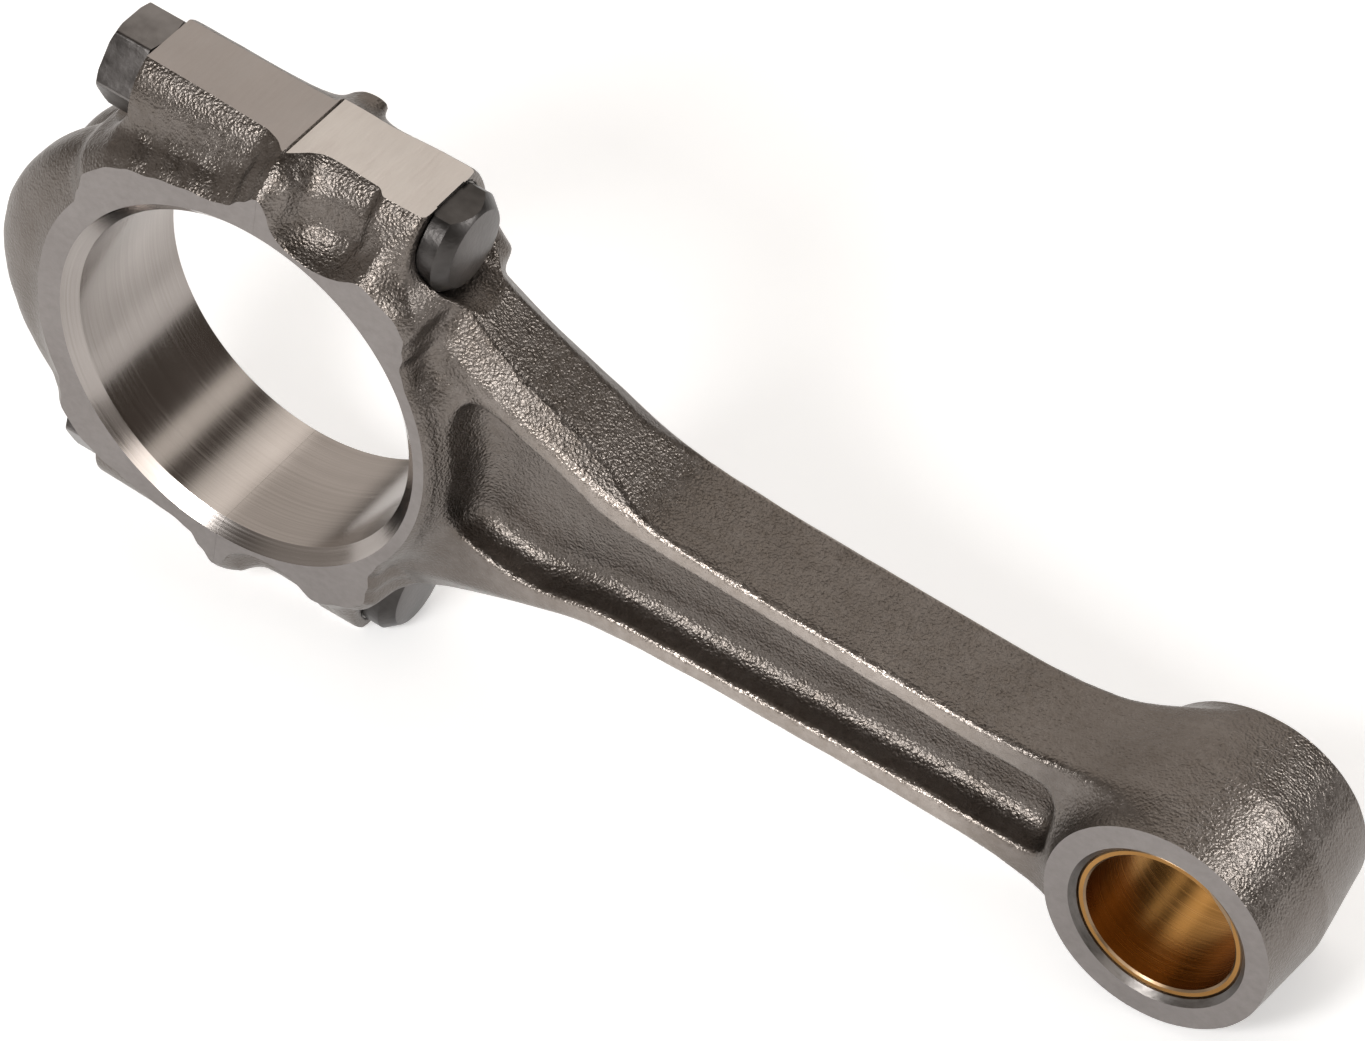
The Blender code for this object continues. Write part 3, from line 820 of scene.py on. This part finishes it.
def threaded_rod(side, radius, low, high, thread_low, thread_high, depth):
    """Closed round bar on a bolt's axis whose surface carries a helical thread between two places."""
    sides = 72
    rows_per_turn = 8
    fade_length = 0.8
    point_length = 0.7
    count = int((high - low) / THREAD_PITCH * rows_per_turn)
    along = np.linspace(low, high, count + 1)
    turn = np.arange(sides) * math.tau / sides
    phase = (along[:, None] / THREAD_PITCH + turn[None, :] / math.tau) % 1.0
    tooth = np.clip(np.abs(phase - 0.5) * 2.4 - 0.15, 0.0, 1.0)
    begun = np.clip((along - thread_low) / fade_length, 0.0, 1.0)
    left = np.clip((thread_high - along) / fade_length, 0.0, 1.0)
    size = radius - depth * (1.0 - tooth) * (begun * left)[:, None]
    point = np.clip((along - low) / point_length, 0.0, 1.0)[:, None]
    size = np.minimum(size, radius - depth + depth * point)
    level = np.repeat(along[:, None], sides, 1)
    points = np.stack([level, size * np.cos(turn), size * np.sin(turn)], 2).reshape(-1, 3)
    mesh = capped_tube("threaded", points, count + 1, sides)
    mesh.transform(Matrix.Translation((0.0, 0.0, side * BOLT_Z)))
    return mesh


# Bolt head from its seat outwards: (radius, height above the seat).
HEAD_PROFILE = (
    (7.6, 0.0), (8.0, 0.4), (8.0, 3.15), (7.72, 3.5), (6.55, 4.95), (6.25, 5.2), (5.6, 5.33), (3.5, 5.5),
    (1.2, 5.56),
)
HEAD_FACE = 5.2            # height where the rubbed face of the head begins


def build_bolt(word, side, dark, rubbed):
    """One bolt, word being upper or lower and side 1 or -1."""
    tip = NUT_SEAT_X - NUT_HEIGHT - 0.8
    shank = threaded_rod(side, BOLT_R, tip, HEAD_SEAT_X + 1.0, tip, THREAD_START_X, 0.62)
    obj = shown("bolt_" + word, shank)
    seat = HEAD_SEAT_X + FIT
    head = about_bolt(side, [(radius, seat + height) for radius, height in HEAD_PROFILE], 160)
    cut(obj, [head], "UNION")
    low, high = sorted((side * (BOLT_Z + HEAD_FLAT), side * 70.0))
    cut(obj, [block((seat - 0.5, -30, low), (60, 30, high))])
    finish_faces(obj, [dark, rubbed], lambda centre, normal: centre[:, 0] > seat + HEAD_FACE)
    sharpen(obj.data, 28.0)
    put_on_body(obj, word + "_bolt", "rod_bolt_" + word)


def build_nut(word, side, dark):
    """One nut: a hexagon with rounded corners, crowned on both faces, with a threaded hole."""
    corner = NUT_FLATS / math.sqrt(3.0)
    inner = NUT_SEAT_X - FIT
    outer = NUT_SEAT_X - NUT_HEIGHT
    prism = about_bolt(side, [(corner, outer), (corner, inner)], 6)
    with editing(prism) as bm:
        corners = [edge for edge in bm.edges if abs(edge.verts[0].co.x - edge.verts[1].co.x) > 1.0]
        bmesh.ops.bevel(bm, geom=corners, offset=0.35, segments=3, profile=0.5, affect="EDGES")
    obj = shown("nut_" + word, prism)
    # The crowns: cones that begin so far inside the corners, carried on well beyond the nut.
    slope, beyond = 0.52, 3.0
    outer_crown, inner_crown = 0.8, 1.15
    cut(obj, [about_bolt(side, [
        (corner - outer_crown - beyond, outer - beyond * slope),
        (corner + beyond, outer + (outer_crown + beyond) * slope),
        (corner + beyond, inner - (inner_crown + beyond) * slope),
        (corner - inner_crown - beyond, inner + beyond * slope),
    ], 144)], "INTERSECT")
    cut(obj, [threaded_rod(side, NUT_HOLE_R, outer - 2.0, inner + 2.0, outer - 4.0, inner + 4.0, 0.48)])
    for end, inwards in ((outer, 1), (inner, -1)):
        cut(obj, [about_bolt(side, [(BOLT_R + 1.9, end - inwards), (BOLT_R + 0.1, end + 0.8 * inwards)])])
    finish_faces(obj, [dark], lambda centre, normal: np.zeros(len(centre)))
    sharpen(obj.data, 20.0)
    put_on_body(obj, word + "_nut", "rod_nut_" + word)


# ---------------------------------------------------------------- studio

def direction(azimuth, elevation):
    """Unit vector in the row frame from degrees in the rod's frame: azimuth from +X towards +Y."""
    a, e = math.radians(azimuth), math.radians(elevation)
    return ROD_X * math.cos(e) * math.cos(a) + ROD_Y * math.cos(e) * math.sin(a) + ROD_Z * math.sin(e)


def softbox(name, azimuth, elevation, distance, size, radiance, aim=(0.0, 0.0, 0.04)):
    """Rectangular lamp that faces aim from so far away, both in metres in the row frame."""
    data = bpy.data.lights.new(name, "AREA")
    data.shape = "RECTANGLE"
    data.size, data.size_y = size
    data.energy = radiance * math.pi * size[0] * size[1]
    light = shown(name, data)
    away = direction(azimuth, elevation)
    light.location = Vector(aim) + away * distance
    light.rotation_euler = away.to_track_quat("Z", "Y").to_euler()
    return light


# Patches of the surroundings: (azimuth, elevation) and (full within, gone beyond) in degrees, and the
# radiance they add.
ROOM = (
    ((131, 30), (22, 42), (0.80, 0.75, 0.70)),
    ((104, 53), (6, 15), (1.10, 1.06, 1.00)),
    ((-160, 10), (14, 40), (0.40, 0.38, 0.36)),
    ((-42, -2), (8, 30), (0.34, 0.33, 0.32)),
    ((-78, 40), (12, 30), (0.18, 0.18, 0.18)),
    ((-71, 32), (5, 14), (3.20, 3.05, 2.90)),
    ((57, 45), (2, 9), (1.30, 1.24, 1.16)),
)
ROOM_LEVEL = (0.110, 0.092, 0.077)     # radiance everywhere else


def build_world():
    """Dim warm room with a few pale patches, as the machined faces mirror it."""
    world = bpy.data.worlds.new("studio")
    bpy.context.scene.world = world
    world.use_nodes = True
    tree = world.node_tree
    nodes, links = tree.nodes, tree.links
    coord = nodes.new("ShaderNodeTexCoord").outputs["Generated"]
    total = nodes.new("ShaderNodeRGB").outputs[0]
    total.default_value = (*ROOM_LEVEL, 1.0)
    for (azimuth, elevation), (core, edge), colour in ROOM:
        dot = nodes.new("ShaderNodeVectorMath")
        dot.operation = "DOT_PRODUCT"
        dot.inputs[1].default_value = direction(azimuth, elevation)
        links.new(coord, dot.inputs[0])
        fade = nodes.new("ShaderNodeMapRange")
        fade.interpolation_type = "SMOOTHSTEP"
        fade.inputs["From Min"].default_value = math.cos(math.radians(edge))
        fade.inputs["From Max"].default_value = math.cos(math.radians(core))
        links.new(dot.outputs["Value"], fade.inputs["Value"])
        patch = nodes.new("ShaderNodeVectorMath")
        patch.operation = "SCALE"
        patch.inputs[0].default_value = colour
        links.new(fade.outputs["Result"], patch.inputs["Scale"])
        join = nodes.new("ShaderNodeVectorMath")
        join.operation = "ADD"
        links.new(total, join.inputs[0])
        links.new(patch.outputs["Vector"], join.inputs[1])
        total = join.outputs["Vector"]
    links.new(total, nodes["Background"].inputs["Color"])


def build_floor():
    """Pale floor, and a round wall behind it that only the camera sees."""
    mesh = bpy.data.meshes.new("floor")
    with editing(mesh) as bm:
        bmesh.ops.create_grid(bm, x_segments=8, y_segments=8, size=2.5)
    floor = shown("floor", mesh)
    floor.location = (0.0, 0.0, -0.0001)
    n = Nodes("pale_paper")
    paper = n.ramp(n.noise(400.0, 3.0, 0.6), [(0.3, (0.90, 0.90, 0.90)), (0.7, (0.93, 0.93, 0.93))])
    n.link(paper, n.shader.inputs["Base Color"])
    n.shader.inputs["Roughness"].default_value = 0.9
    n.shader.inputs["Specular IOR Level"].default_value = 0.0
    n.shader.inputs["Emission Color"].default_value = (1.0, 1.0, 1.0, 1.0)
    n.shader.inputs["Emission Strength"].default_value = 0.44
    floor.data.materials.append(n.material)
    wall = shown("backdrop", lathe([(2.4, -0.2), (2.4, 2.6)], "X", sides=96))
    wall.data.transform(Matrix.Rotation(math.radians(-90.0), 4, "Y"))
    wall.data.materials.append(n.material)
    for unseen in ("visible_diffuse", "visible_glossy", "visible_shadow", "visible_transmission"):
        setattr(wall, unseen, False)


def build_camera():
    """Long lens at the photograph's viewing angle."""
    data = bpy.data.cameras.new("camera")
    data.lens = 144.34
    data.sensor_width = 36.0
    data.clip_start = 0.01
    camera = shown("camera", data)
    camera.location = (0.32136, -0.48802, 0.56380)
    camera.rotation_euler = [math.radians(v) for v in (48.143, 0.542, 32.497)]
    bpy.context.scene.camera = camera


build_camera()
build_forgings()
build_bush()
BOLT_FINISH = black_oxide("bolt_black_oxide", (0.043, 0.040, 0.038), (0.095, 0.089, 0.086))
HEAD_FINISH = black_oxide("bolt_head_face", (0.095, 0.089, 0.086), (0.165, 0.156, 0.152))
NUT_FINISH = black_oxide("nut_black_oxide", (0.115, 0.107, 0.103), (0.235, 0.222, 0.216))
for name, sign in (("upper", 1), ("lower", -1)):
    build_bolt(name, sign, BOLT_FINISH, HEAD_FINISH)
    build_nut(name, sign, NUT_FINISH)
build_floor()
build_world()
softbox("key", -101, 35, 0.9, (0.22, 0.22), 27.0)
glint = softbox("small_end", 37, 55, 0.30, (0.085, 0.085), 19.0, (BUSH_LOW + BUSH_HIGH) / 2)
glint.visible_diffuse = False
fill = softbox("overhead", 0, 90, 1.3, (2.2, 2.2), 0.4)
fill.visible_glossy = False
bpy.context.scene.view_settings.view_transform = "Standard"
bpy.context.scene.view_settings.look = "None"
bpy.context.scene.view_settings.exposure = 0.0
